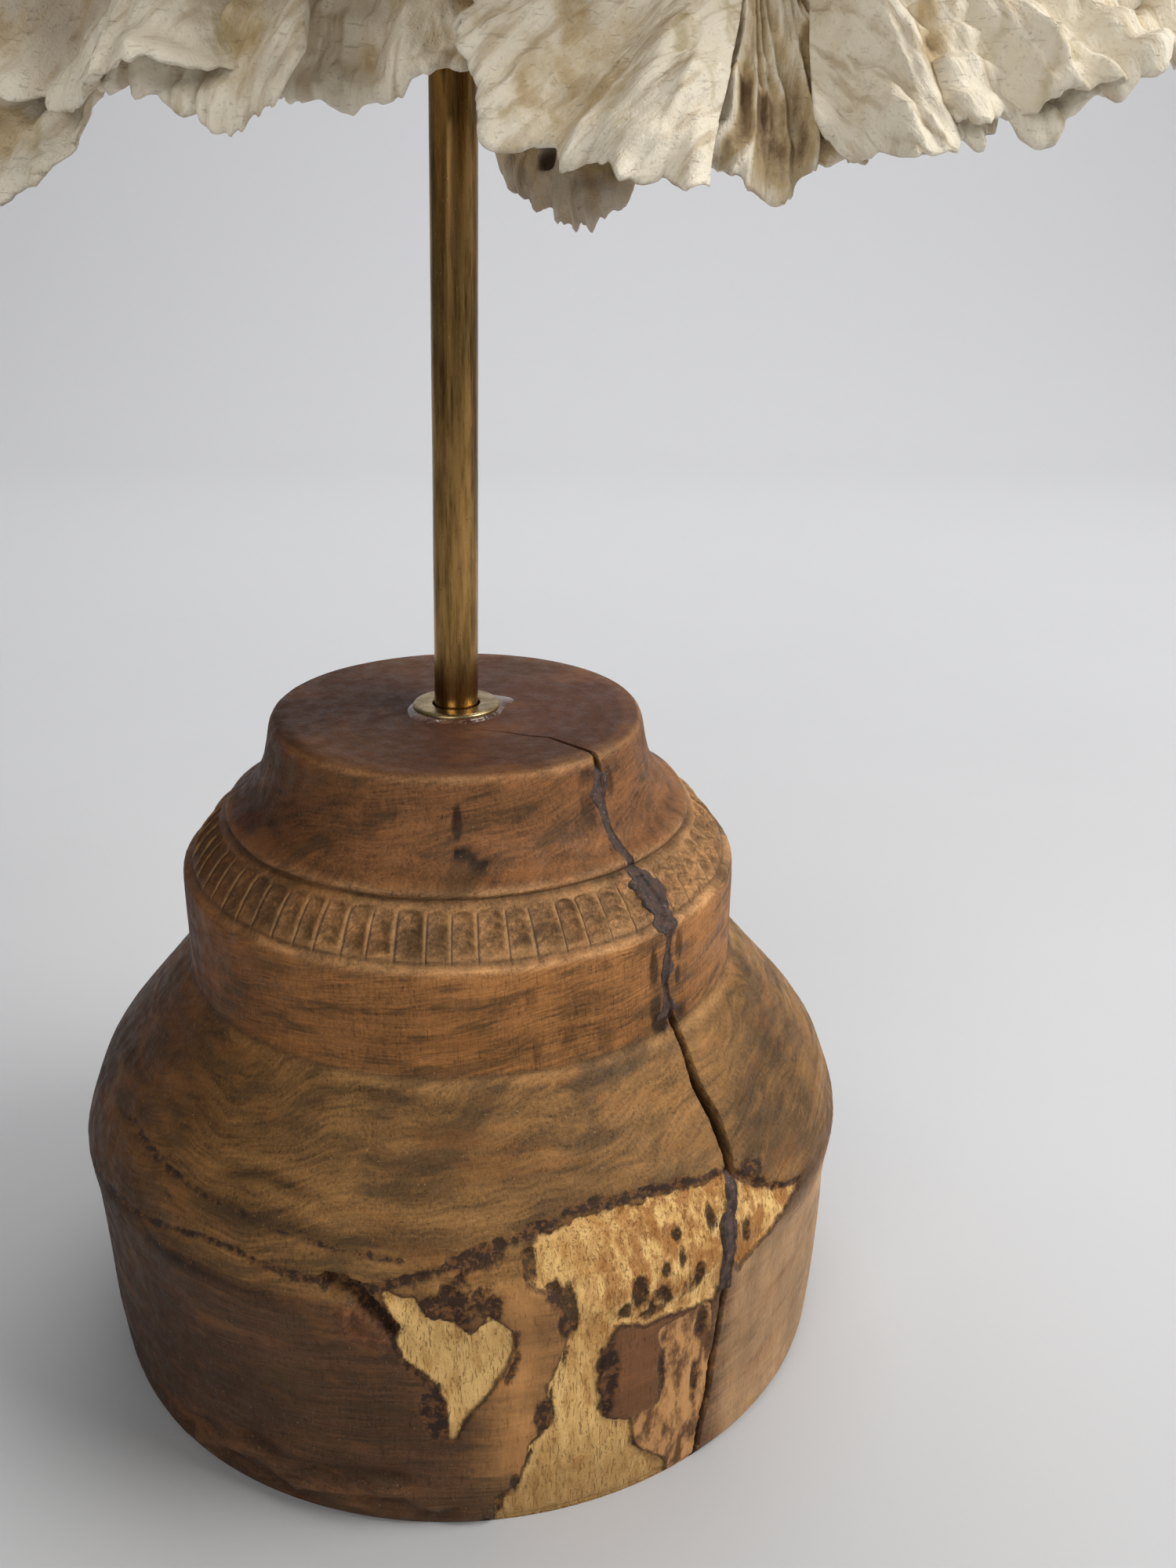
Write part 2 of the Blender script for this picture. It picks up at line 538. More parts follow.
def foot_tint(azimuth, radius, height, point):
    """Broad linear colours of the wood by place, and where its grain is calm (0..1)."""
    colour = linear(*LOWEST_TONE)
    for low, high, tone in TONES:
        colour = mix(colour, linear(*tone), smooth(low, high, height)[:, None])

    rims = bell(height, 107.8, 0.7) + bell(height, 97.9, 0.5)
    rims = rims + 0.7 * bell(height, 124.4, 0.7) * (radius > 32)
    rims = rims * (0.6 + 0.4 * fbm(point, 7, 2, 61))
    grooves = 0.7 * bell(height, 106.9, 0.55) + 0.55 * bell(height, 98.75, 0.35)
    grooves = grooves + 0.6 * bell(height, 78.9, 0.4)
    hem = bell(height, 77.5, 0.7) * (0.7 + 0.5 * fbm(point, 9, 2, 62))
    inset = smooth(23, 25, azimuth) * smooth(32, 30, azimuth)
    inset = inset * smooth(16, 20, height) * smooth(40, 37, height)
    right_foot = smooth(38, 46, azimuth) * smooth(130, 95, azimuth) * smooth(48, 40, height)
    blotches = 1 + 0.35 * fbm(point, (5, 5, 13), 3, 63)[:, None]
    tongue = bell(azimuth, 11, 5) * smooth(4, 16, height) * smooth(55, 50, height)
    uneven = 1 + 0.45 * fbm(point, (3.5, 3.5, 8), 3, 64)[:, None]
    on_top = height > FLAT_TOP
    heart = bell(radius, 8, 16) * on_top
    left_top = smooth(0, -26, point[:, 0]) * on_top
    for tone, amount in (
        (linear(196, 148, 100), np.clip(0.75 * rims, 0, 0.85)),
        (linear(50, 32, 22), np.clip(grooves, 0, 0.8)),
        (linear(178, 134, 84), np.clip(0.6 * hem, 0, 0.7)),
        (linear(116, 76, 46), 0.85 * inset),
        (linear(176, 138, 98) * blotches, 0.9 * right_foot),
        (linear(186, 134, 80) * uneven, 0.9 * tongue),
        (linear(92, 56, 42), 0.5 * heart),
        (linear(126, 88, 56), 0.7 * left_top),
    ):
        colour = mix(colour, tone, amount[:, None])
    colour = colour * (1 + 0.24 * fbm(point, (26, 26, 12), 3, 5))[:, None]

    shaded = smooth(-8, -75, azimuth) * smooth(-175, -120, azimuth)
    shade = 1 - shaded[:, None] * np.array(LEFT_SHADE)
    plain = np.maximum(np.maximum(tongue, 0.75 * right_foot), 0.8 * inset)
    return colour * (1 - 0.8 * stains(azimuth, radius, height, point))[:, None] * shade, plain


def stains(azimuth, radius, height, point):
    """How dark each point is made by the stains and drips."""
    dark = np.zeros(len(height))
    wobble = 1.2 * fbm(point, 9, 3, 8)
    tattered = 0.5 * fbm(point, (1.2, 1.2, 2.4), 2, 65)
    for stain_azimuth, stain_height, wide, tall, amount in STAINS:
        turn = (azimuth - stain_azimuth + 180) % 360 - 180
        x = np.radians(turn) * radius / wide
        y = (height - stain_height + wobble) / tall
        spread = (x * x + y * y) * (1 + 0.5 * wobble)
        if wide < DRIP_WIDTH:
            faded = smooth(1.3, 0.6, spread + tattered)
        else:
            faded = np.exp(-spread)
        dark = np.maximum(dark, amount * faded)
    return dark


def arc_mm(azimuth):
    """Way round the foot's side from the front, in millimetres."""
    return np.radians(azimuth) * SIDE_RADIUS


def on_side(points):
    return [(arc_mm(azimuth), height) for azimuth, height in points]


def bare_marks(point, arc, height):
    """How far inside the bare wood, the mottled wood and the dark marks each point is, in
    millimetres, then how frayed their edges are, and where the wood is broken."""
    fray = fbm(point, (3.2, 3.2, 5.5), 3, 31) + 0.35 * fbm(point, 1.1, 2, 32)
    low = height < MARKS_TOP
    x, y = arc[low], height[low]

    bare, mottled, dark = (np.full(len(arc), OUTSIDE) for _ in range(3))
    for corners in BARE:
        bare[low] = np.maximum(bare[low], polygon_depth(x, y, on_side(corners)))
    mottled[low] = polygon_depth(x, y, on_side(MOTTLED))
    for half_width, points in DARK_LINES:
        dark[low] = np.maximum(dark[low], half_width - line_distance(x, y, on_side(points)))
    for spot, spot_height, wide, tall in DARK_SPOTS:
        away = np.hypot((arc - arc_mm(spot)) / wide, (height - spot_height) / tall)
        dark = np.maximum(dark, (1 - away) * min(wide, tall))

    broken = bell(arc, 4.5, 6.5) * bell(height, 51.5, 4.0)
    broken = broken + 0.8 * bell(arc, 38, 9) * bell(height, 43, 3.2)
    crumbled = 2.6 * (broken * (0.35 + fbm(point, (2.4, 2.4, 3.4), 3, 38)) - 0.24)
    dark = np.maximum(dark + 0.7 * fray, crumbled)
    return bare + fray, mottled + 1.6 * fray, dark, fray, broken


def build_foot(material):
    azimuth, radius, height, across, half = foot_fields()
    rows, count = azimuth.shape
    azimuth, radius, height = azimuth.ravel(), radius.ravel(), height.ravel()
    across, half = across.ravel(), half.ravel()
    angle = np.radians(azimuth)
    outward = stack(np.sin(angle), -np.cos(angle), 0.0 * angle)
    point = outward * radius[:, None] + stack(0, 0, height)
    arc = arc_mm(azimuth)
    low = height < MARKS_TOP
    side = (height < FLAT_TOP) & (height > 0.05)
    flat = height >= FLAT_TOP

    # the split
    ragged = 0.22 * fbm(point, 2.4, 3, 21) + 0.12 * np.sign(across) * fbm(point, 6, 2, 22)
    inside = smooth(-0.05, 0.2, (half - abs(across)) + ragged * smooth(0.05, 0.4, half))
    inside = inside * (half > 0.02)
    edge = half - abs(across) + ragged
    depth = SPLIT_DEPTH * smooth(0, 0.9, half) * (0.85 + 0.3 * fbm(point, 5, 2, 23))
    depth = depth * inside

    # the bare wood lies deeper, with fibres, a chip and crumbled places
    bare, mottled, dark, fray, broken = bare_marks(point, arc, height)
    recess = 0.85 * smooth(-0.35, 0.5, bare) + 0.35 * smooth(-0.3, 0.8, mottled)
    recess = recess + 0.55 * smooth(-0.2, 0.9, dark) * low
    chip = line_distance(arc, height, CHIP)
    recess = recess + 3.2 * smooth(1.7, 0.5, chip + 0.6 * fray) * low
    splinters = bell(arc, -11.5, 5) * bell(height, 45, 4.5)
    recess = recess + splinters * (1.6 * fbm(point, (1.3, 1.3, 4), 3, 37) + 0.1)
    recess = recess + broken * 1.3 * fbm(point, (1.6, 1.6, 2.4), 3, 39)
    fibres = 0.3 * fbm(point, (1.1, 1.1, 7), 3, 33)
    recess = recess - fibres * smooth(-0.3, 0.4, np.maximum(bare, mottled))

    # wrinkles at the lower left
    ridge_line = line_distance(arc, height, WRINKLE)
    uneven = smooth(-0.3, 0.4, fbm(point, 9, 2, 46)) * low
    ridge = bell(ridge_line + 0.8 * fray, 0, 1.8) * uneven
    valley = bell(ridge_line + 0.8 * fray, 3.2, 2.0) * uneven
    ripple = 1.1 * ridge - 0.8 * valley

    flutes, flute_number = flute_fields(azimuth, radius, height)
    out = np.where(side, relief(point, angle, height) + ripple - flutes - recess, 0)
    out = np.where(height < 1.6, np.minimum(out, 0), out)
    out = out - np.where(side, depth, 0)
    nick = 0.12 * fbm(point, 5, 3, 45) * smooth(TOP - 3, TOP, height)
    point = point + outward * out[:, None]
    rise = np.where(flat, nick - 0.6 * depth, 0)
    point[:, 2] = np.clip(point[:, 2] + rise, 0, TOP)

    tint, plain = foot_tint(azimuth, radius, height, point)
    crumbs = smooth(-0.4, 0.6, splinters - 0.5 + 0.4 * fray)
    tint = mix(tint, linear(118, 72, 50), (0.8 * crumbs)[:, None])
    tint = tint * (1 + 0.35 * ridge - 0.45 * valley)[:, None]
    points = np.concatenate([point, [[0, 0, TOP], [0, 0, 0]]])
    middle_top, middle_low = len(point), len(point) + 1
    ring = np.arange(count)
    following = (ring + 1) % count
    last = (rows - 1) * count
    faces = [
        grid_quads(rows, count, wrap=True, flip=True),
        np.stack([np.full(count, middle_top), ring, following], axis=1),
        np.stack([np.full(count, middle_low), last + following, last + ring], axis=1),
    ]
    fields = dict(bare=bare, mottled=mottled, dark=dark, split=edge, flute=flutes,
                  flute_number=flute_number, plain=plain)
    fields = {key: np.concatenate([values, [0, 0]]) for key, values in fields.items()}
    tint = np.concatenate([tint, tint[:2]])
    piece = make_mesh("wood_foot_fine", points, faces, material, tint=tint, **fields)
    place(piece, "wood", "wood_foot")


def old_skin(n, x, y, z, radius):
    """Colour of the worn outside, and the layers of its grain that are also raised."""
    plain = n.attribute("plain")
    wobble = (n.noise((30, 30, 60), 2) - 0.5) * 9.0
    ring = n.math3("LENGTH", n.join(x - PITH[0] + wobble, y - PITH[1], 0.0))
    rings = n.math("SINE", ring * 2.1 + n.noise(11, 2) * 4.0)
    fibre = n.noise((0.6, 0.6, 6), 3, 0.65)
    pores = n.ramp(n.noise((0.35, 0.35, 2.6), 2, 0.5), 0.60, 0.70)
    patches = n.noise((14, 14, 10), 4, 0.6)
    grit = n.noise(0.6, 4, 0.8)

    # streaks that run round the foot, wavering up and down
    ux, uy, _ = n.split(n.math3("NORMALIZE", n.join(x, y, 0.0)))
    waver = (n.noise(26, 2, 0.5) - 0.5) * 7.0
    level = z + radius * 0.55 + waver - ux * 7.0

    def streak(turns, tall):
        return n.noise(1.0, 4, 0.65, vector=n.join(ux * turns, uy * turns, level / tall))

    thin, broad = streak(6.5, 0.42), streak(3.2, 3.2)
    side = n.ramp(z, TOP - 0.3, TOP - 1.2, 0.12, 1.0)

    shade = rings * 0.11 + 1.0
    for layer, amount in ((thin, 1.9), (broad, 1.0)):
        shade = shade + (layer - 0.5) * side * amount
    for layer, amount in ((fibre, 0.6), (patches, 0.5), (grit, 1.7)):
        shade = shade + (layer - 0.5) * amount
    calm = 1.0 + (fibre - 0.5) * 0.5
    shade = shade + (calm - shade) * plain
    shade = n.math("MAXIMUM", shade - pores * 0.25, 0.25)
    colour = n.layers(n.math3("SCALE", n.attribute("tint", True), scale=shade), (
        (n.ramp(broad, 0.5, 0.36) * side * (1.0 - plain), 0.55, (70, 52, 32)),
        (n.ramp(n.noise((16, 16, 5), 4, 0.6), 0.52, 0.68), 0.22, (160, 102, 52)),
        (n.ramp(n.noise((20, 20, 9), 4, 0.65), 0.54, 0.68), 0.32, (76, 62, 40)),
        (n.ramp(n.noise(0.5, 2), 0.70, 0.76), 0.4, (190, 160, 122)),
    ))
    return colour, fibre, grit, thin, pores


def carved_scoops(n, colour, z, radius):
    """Dirty hollows with paler ridges between them, and the dirt's mask."""
    across = n.math("FRACT", n.attribute("flute_number"))
    to_ridge = n.math("MINIMUM", across, 1.0 - across)
    on = n.ramp(n.math("ABSOLUTE", z - SCOOP_HEIGHT), 4.0, 2.6) * n.ramp(radius, 52.5, 51.5)
    dirt = n.ramp(n.noise((1.1, 1.1, 1.4), 4, 0.75), 0.38, 0.60)
    dirt = dirt * n.ramp(n.attribute("flute"), 0.1, 0.8, 0.0, 0.5)
    uneven = n.ramp(n.noise((2.5, 2.5, 2), 3, 0.6), 0.35, 0.6, 0.1, 0.55)
    beside = n.ramp(across, 0.16, 0.09) * n.ramp(across, 0.03, 0.07) * on
    colour = n.layers(colour, (
        (dirt, 1.0, (66, 44, 26)),
        (n.ramp(to_ridge, 0.075, 0.03) * on, uneven, (172, 132, 86)),
        (beside, 0.75, (52, 34, 22)),
    ))
    return colour, dirt


def bare_wood(n, x, z):
    """Colour of the pale wood where the log's skin is gone, and its fine slits."""
    toasted = n.ramp(n.noise((4, 4, 8), 4, 0.7), 0.40, 0.56)
    slits = n.ramp(n.noise((0.45, 0.45, 3.0), 3, 0.65, distortion=1.2), 0.56, 0.66)
    pale = n.blend(n.ramp(n.noise((2.2, 2.2, 9), 4, 0.65), 0.30, 0.62),
                   linear(192, 146, 84), linear(228, 186, 120))
    pale = n.layers(pale, (
        (n.ramp(n.noise((7, 7, 9), 4, 0.7), 0.54, 0.70), 0.6, (160, 104, 50)),
        (toasted * n.ramp(x, 12, 34) * n.ramp(z, 30, 44), 0.75, (146, 88, 40)),
        (slits, 0.6, (128, 84, 42)),
        (n.ramp(z, 26, 0), 0.55, (138, 104, 64)),
    ))
    return pale, slits


def wood_material():
    n = Nodes("old_turned_wood")
    x, y, z = n.split(n.position)
    radius = n.math3("LENGTH", n.join(x, y, 0.0))
    old, fibre, grit, thin, pores = old_skin(n, x, y, z, radius)
    old, dirt = carved_scoops(n, old, z, radius)
    pale, slits = bare_wood(n, x, z)

    speck = (n.noise(1.4, 4, 0.6) - 0.5) * 1.3
    bare = n.attribute("bare") + speck * 0.4
    mottled = n.attribute("mottled") + speck
    mottle = n.blend(n.ramp(n.noise((2.6, 2.6, 7), 4, 0.65), 0.4, 0.6),
                     linear(104, 70, 44), linear(190, 140, 88))
    colour = n.blend(n.ramp(mottled, -0.15, 0.2), old, mottle)
    colour = n.blend(n.ramp(bare, -0.12, 0.15), colour, pale)
    rim = n.ramp(bare, -0.75, -0.2) * n.ramp(bare, 0.5, 0.0)
    dark = n.attribute("dark") + (n.noise((1.6, 1.6, 3), 4, 0.7) - 0.5) * 1.7
    dark = n.math("MAXIMUM", n.ramp(dark, -0.3, 0.35), rim * 0.75)
    crumb = n.blend(n.ramp(n.noise(1.5, 4, 0.7), 0.48, 0.62),
                    linear(44, 29, 22), linear(108, 72, 42))
    colour = n.blend(dark * 0.92, colour, crumb)
    colour = n.blend(n.ramp(n.attribute("split"), -0.15, 0.25), colour, linear(30, 19, 13))

    on_bare = n.ramp(bare, -0.1, 0.2)
    rough = n.ramp(n.noise(3, 3, 0.6), 0.3, 0.7, 0.42, 0.66)
    rough = rough - n.ramp(z, TOP - 1.0, FLAT_TOP) * 0.04 + on_bare * 0.2
    height = fibre * 0.6 + grit * 0.6 + thin * 0.8 - pores * 0.35 - dirt * 0.7 - slits * on_bare
    return n.finish(colour, rough, n.bump(height, 0.26, 0.8), Specular_IOR_Level=0.18)


# ---- filler in the split ---------------------------------------------------------------


def shell(front, back):
    """Points and faces of a closed sheet from two grids of points with the same shape."""
    rows, count = front.shape[:2]
    points = np.concatenate([front.reshape(-1, 3), back.reshape(-1, 3)])
    size = rows * count
    border = np.concatenate([
        np.arange(count), np.arange(1, rows) * count + count - 1,
        (rows - 1) * count + np.arange(count - 2, -1, -1),
        np.arange(rows - 2, 0, -1) * count,
    ])
    after = np.roll(border, -1)
    sides = np.stack([border, border + size, after + size, after], axis=1)
    return points, [grid_quads(rows, count), grid_quads(rows, count, flip=True, start=size), sides]


def outward_faces(points, faces):
    """Turns the faces over if they point into the closed mesh."""
    volume = 0
    for quads in faces:
        corner = [points[quads[:, i]] for i in range(quads.shape[1])]
        for i in range(1, len(corner) - 1):
            cross = np.cross(corner[i], corner[i + 1])
            volume += np.einsum("ij,ij->", corner[0], cross)
    return faces if volume > 0 else [f[:, ::-1] for f in faces]


def build_filler(name, high, low, smears, material, slot, *nodes):
    """Filler along the split between two heights, with thin smears beside it."""
    line = profile_line()
    azimuth, half = split_along(line)
    keep = (line[:, 1] <= high) & (line[:, 1] >= low) & (line[:, 0] > 12)
    fine = np.linspace(0, 1, keep.sum() * 2)
    coarse = np.linspace(0, 1, keep.sum())
    radius = np.interp(fine, coarse, line[keep, 0])
    height = np.interp(fine, coarse, line[keep, 1])
    middle = np.interp(fine, coarse, azimuth[keep])
    half = np.interp(fine, coarse, half[keep])
    wide = half + 0.35
    for centre, tall, extra in smears:
        wide = np.maximum(wide, half + extra * bell(height, centre, tall))
    count = 35
    x = np.linspace(-1, 1, count)[None, :] * (wide[:, None] + 0.8)
    angle = np.radians(middle[:, None]) + x / radius[:, None]
    outward = stack(np.sin(angle), -np.cos(angle), 0 * angle)
    base = outward * radius[:, None, None] + stack(0 * x, 0 * x, height[:, None] + 0 * x)
    flat = base.reshape(-1, 3)
    lumps = fbm(flat, 1.6, 3, 51).reshape(x.shape)
    tear = fbm(flat, (4, 4, 3), 3, 52).reshape(x.shape)
    beyond = abs(x) - half[:, None]
    cover = (wide - half)[:, None] * (0.75 + 1.1 * tear) - beyond
    smear = mix(-0.9, 0.22 + 0.12 * lumps, smooth(-0.25, 0.35, cover))
    gully = -0.35 + 0.5 * lumps
    lift = mix(gully, smear, smooth(-0.25, 0.25, beyond))
    wide_radius = np.repeat(radius, count)
    tall = np.repeat(height, count)
    flutes, _ = flute_fields(np.degrees(angle).ravel(), wide_radius, tall)
    wear = relief(flat, angle.ravel(), tall)
    lift = lift + (wear - 0.6 * flutes).reshape(x.shape)
    taper = smooth(0, 0.06, fine)[:, None] * smooth(1, 0.94, fine)[:, None]
    lift = mix(-1.4, lift, taper)
    front = base + outward * lift[..., None]
    back = base - outward * 3.0
    points, faces = shell(front, back)
    piece = make_mesh(name, points, outward_faces(points, faces), material)
    place(piece, slot, *nodes)


def filler_material():
    n = Nodes("dried_wood_filler")
    tone = n.noise(1.6, 4, 0.6)
    colour = n.blend(n.ramp(tone, 0.35, 0.65), linear(46, 32, 27), linear(84, 62, 52))
    dust = n.ramp(n.noise(0.6, 2), 0.60, 0.72)
    colour = n.blend(dust * 0.35, colour, linear(150, 128, 112))
    height = n.noise(0.7, 4, 0.65)
    return n.finish(colour, n.ramp(tone, 0.3, 0.7, 0.6, 0.85), n.bump(height, 0.3, 0.8))


# ---- rod, washer and glue --------------------------------------------------------------


def lean(points):
    """Leans points about the middle of the foot's top."""
    moved = points - np.array([0, 0, TOP])
    c, s = math.cos(ROD_LEAN), math.sin(ROD_LEAN)
    x = moved[..., 0] * c + moved[..., 2] * s
    z = moved[..., 2] * c - moved[..., 0] * s
    return stack(x, moved[..., 1], z + TOP)


def turned_piece(name, profile, sides, material, shape=None):
    """A closed turned mesh from rows of (radius, height); shape can move its points."""
    angle = np.arange(sides) * 2 * np.pi / sides
    profile = np.asarray(profile, float)
    ring = stack(np.cos(angle), np.sin(angle), 0 * angle)
    points = profile[:, None, :1] * ring[None] + profile[:, 1][:, None, None] * [0, 0, 1]
    if shape:
        points = shape(points)
    rows = len(profile)
    flat = points.reshape(-1, 3)
    closed = np.allclose(profile[0], profile[-1])
    faces = [grid_quads(rows, sides, wrap=True)]
    if closed:
        flat = flat[:-sides]
        faces = [faces[0] % len(flat)]
    else:
        ends = np.array([points[0].mean(axis=0), points[-1].mean(axis=0)])
        ring = np.arange(sides)
        after = (ring + 1) % sides
        last = (rows - 1) * sides
        faces.append(np.stack([np.full(sides, len(flat)), after, ring], axis=1))
        faces.append(np.stack([np.full(sides, len(flat) + 1), last + ring, last + after], axis=1))
        flat = np.concatenate([flat, ends])
    return make_mesh(name, flat, outward_faces(flat, faces), material)


def build_rod(material):
    rows = np.linspace(ROD_LOW[2] + 0.5, ROD_HIGH[2] - 0.5, 90)
    profile = [(ROD_RADIUS - 0.4, rows[0] - 0.4)]
    profile += [(ROD_RADIUS, z) for z in rows]
    profile += [(ROD_RADIUS - 0.4, rows[-1] + 0.4)]

    def shape(points):
        flat = points.reshape(-1, 3)
        dents = 0.025 * fbm(flat, (3, 3, 14), 2, 71)
        scale = 1 + dents / ROD_RADIUS
        flat = flat * stack(scale, scale, 1 + 0 * scale)
        return lean(flat).reshape(points.shape)

    piece = turned_piece("brass_rod", profile, 72, material, shape)
    place(piece, "brass", "rod")


def build_washer(material):
    outer = (WASHER_HIGH[0] - WASHER_LOW[0]) / 2
    low, high = WASHER_LOW[2], WASHER_HIGH[2]
    bore = ROD_RADIUS + 0.35
    profile = [(bore, low), (outer - 0.1, low), (outer, low + 0.12), (outer, high - 0.42),
               (outer - 0.1, high - 0.22), (outer - 0.32, high - 0.06), (outer - 0.6, high)]
    profile += [(r, high - 0.03 * (r < 5.2)) for r in np.linspace(outer - 1, bore + 0.3, 9)]
    profile += [(bore + 0.08, high - 0.12), (bore, high - 0.3), (bore, low)]
    piece = turned_piece("brass_washer", profile, 120, material)
    place(piece, "brass_washer", "washer")


def build_glue(material):
    """Clear glue that has run out round the washer, with a longer run to the right."""
    inner = ROD_RADIUS + 2.2
    outer = (WASHER_HIGH[0] - WASHER_LOW[0]) / 2
    steps = np.linspace(0, 1, 16)

    def shape(points):
        angle = np.arctan2(points[..., 1], points[..., 0])
        t = np.clip((np.hypot(points[..., 0], points[..., 1]) - inner) / (outer - inner), 0, 1)
        unit = stack(np.cos(angle), np.sin(angle), 0 * angle)
        wobble = fbm(unit.reshape(-1, 3), 0.42, 3, 81).reshape(angle.shape)
        run = 2.6 * bell(angle, 0.5, 0.35) + 0.9 * bell(angle, -2.4, 0.5)
        reach = outer + 0.75 + 0.55 * wobble + run
        radius = mix(inner, reach, t)
        lumps = 0.07 * fbm(points.reshape(-1, 3), 1.1, 2, 82).reshape(angle.shape)
        lift = 0.62 * (1 - t ** 2.2) * smooth(1.0, 0.86, t) + lumps * (1 - t)
        top = points[..., 2] > TOP
        z = np.where(top, TOP + 0.02 + lift * smooth(1, 0.96, t) + 0.1 * (1 - t), TOP - 0.25)
        return stack(radius * np.cos(angle), radius * np.sin(angle), z)

    profile = [(mix(inner, outer, t), TOP + 1) for t in steps]
    profile += [(mix(inner, outer, t), TOP - 1) for t in steps[::-1]]
    profile.append(profile[0])
    piece = turned_piece("dried_glue", profile, 140, material, shape)
    place(piece, "glue", "glue_bead")


def glue_material():
    n = Nodes("dried_clear_glue")
    tone = n.ramp(n.noise(2.2, 3, 0.6), 0.4, 0.62)
    colour = n.blend(tone, linear(70, 44, 34), linear(112, 80, 62))
    bubbles = n.ramp(n.cells(0.75), 0.14, 0.24)
    colour = n.blend(bubbles, linear(176, 158, 140), colour)
    height = n.noise(1.6, 2) + bubbles * -0.3
    return n.finish(colour, 0.12, n.bump(height, 0.25, 0.5), Coat_Weight=0.6)


def brass_material(name, pale, deep, streak):
    """Aged brass; `streak` is the size of its drawn marks along and across."""
    n = Nodes(name)
    marks = n.noise(streak, 3, 0.6)
    cloud = n.noise((2.6, 2.6, 22), 4, 0.65)
    spots = n.ramp(n.noise((0.5, 0.5, 0.8), 3, 0.6), 0.64, 0.72)
    colour = n.layers(n.blend(n.ramp(cloud, 0.34, 0.66), linear(*deep), linear(*pale)), (
        (spots, 0.55, (70, 48, 26)),
        (n.ramp(marks, 0.3, 0.7), 0.3, (196, 160, 100)),
    ))
    rough = n.ramp(cloud, 0.3, 0.7, 0.34, 0.22) + spots * 0.25
    return n.finish(colour, rough, n.bump(marks + spots * -0.4, 0.03, 0.6), Metallic=1.0)


# ---- coral -----------------------------------------------------------------------------

CORE_CENTRE = np.array([12.0, 4.0, 280.0])
CORE_RADII = np.array([54.0, 20.0, 34.0])
CORE_MEAN_RADIUS = 26

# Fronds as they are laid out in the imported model: root, middle of the rim, seen side,
# half angle and bend in degrees, folds of the rim and their phase; then how many pleats
# run out from the root and how high they stand in millimetres.
FRONDS = {
    "coral_front_left": ([47, -15, 252], [9, -46, 228], [-0.3, -1, 0.5], 38, -30, 2, 0.4, 6, 2.0),
    "coral_front_centre": ([47, -13, 252], [43, -43, 216], [0, -1, 0.3], 35, -26, 3, 1.2, 9, 1.6),
    "coral_front_right": ([55, -10, 255], [87, -46, 227], [0.3, -1, 0.5], 37, -34, 3, 2.4, 6, 2.4),
    "coral_far_right": ([66, -6, 261], [105, -40, 230], [0.4, -1, 0.6], 38, -24, 3, 0, 5, 1.0),
    "coral_under": ([23, -3, 252], [24, -26, 211], [-0.2, -1, 0.3], 25, -22, 2, 1.9, 3, 1.8),
    "coral_left_inner": ([-2, 0, 258], [-15, -22, 228], [-0.4, -1, 0.6], 46, -28, 3, 0.8, 5, 1.2),
    "coral_left_lobe": ([-14, -6, 263], [-40, -45, 226], [-0.3, -1, 0.6], 28, -34, 2, 2.2, 4, 1.0),
    "coral_left_plate": ([-22, 0, 262], [-60, -44, 229], [-0.7, -1, 0.5], 42, -34, 3, 1.1, 7, 1.4),
    "coral_far_left": ([-30, 6, 264], [-88, -16, 214], [-1, -0.5, 0.6], 46, -34, 3, 0.2, 9, 1.6),
    "coral_back_left": ([-20, 12, 262], [-56, 50, 235], [-0.7, 1, 0.5], 48, -34, 3, 1.6, 8, 1.6),
    "coral_back": ([10, 14, 260], [6, 58, 235], [0, 1, 0.5], 50, -36, 3, 0.5, 9, 1.6),
    "coral_back_right": ([44, 12, 262], [72, 50, 234], [0.6, 1, 0.5], 48, -34, 3, 2.8, 8, 1.6),
    "coral_mid_left": ([-20, 2, 280], [-104, -6, 276], [0, -0.4, 1], 52, 26, 3, 1.9, 9, 1.8),
    "coral_mid_front_left": ([-4, -8, 278], [-38, -70, 272], [0, -0.2, 1], 52, 28, 3, 0.9, 8, 1.8),
    "coral_mid_front": ([34, -8, 278], [44, -74, 268], [0, -0.2, 1], 50, 28, 3, 2.9, 8, 1.8),
    "coral_mid_right": ([48, 0, 280], [118, -16, 278], [0, -0.3, 1], 52, 26, 3, 0.3, 9, 1.8),
    "coral_mid_back_right": ([36, 12, 278], [64, 70, 276], [0, 0.2, 1], 54, 28, 3, 2.1, 9, 1.8),
    "coral_mid_back_left": ([-4, 12, 278], [-44, 66, 274], [0, 0.2, 1], 54, 28, 3, 0.7, 9, 1.8),
    "coral_upper_left": ([-14, 4, 294], [-80, 10, 332], [0.4, -0.2, 1], 54, 30, 3, 1.0, 9, 1.8),
    "coral_upper_front": ([4, -8, 296], [-8, -58, 330], [0, 0.4, 1], 54, 34, 3, 2.4, 8, 1.8),
    "coral_upper_right": ([38, 0, 294], [94, -12, 334], [-0.4, 0.2, 1], 54, 30, 3, 1.7, 9, 1.8),
    "coral_upper_back": ([22, 12, 296], [30, 60, 334], [0, -0.4, 1], 56, 32, 3, 0.2, 9, 1.8),
    "coral_crown_left": ([-2, 2, 306], [-34, 0, 382], [-0.3, -1, 0.3], 46, 24, 3, 1.4, 8, 1.8),
    "coral_crown_right": ([28, 0, 306], [54, -14, 380], [0.3, -1, 0.3], 46, 24, 3, 2.5, 8, 1.8),
    "coral_crown_back": ([12, 12, 306], [8, 40, 372], [-0.1, 1, 0.4], 50, 24, 3, 1.0, 8, 1.8),
}
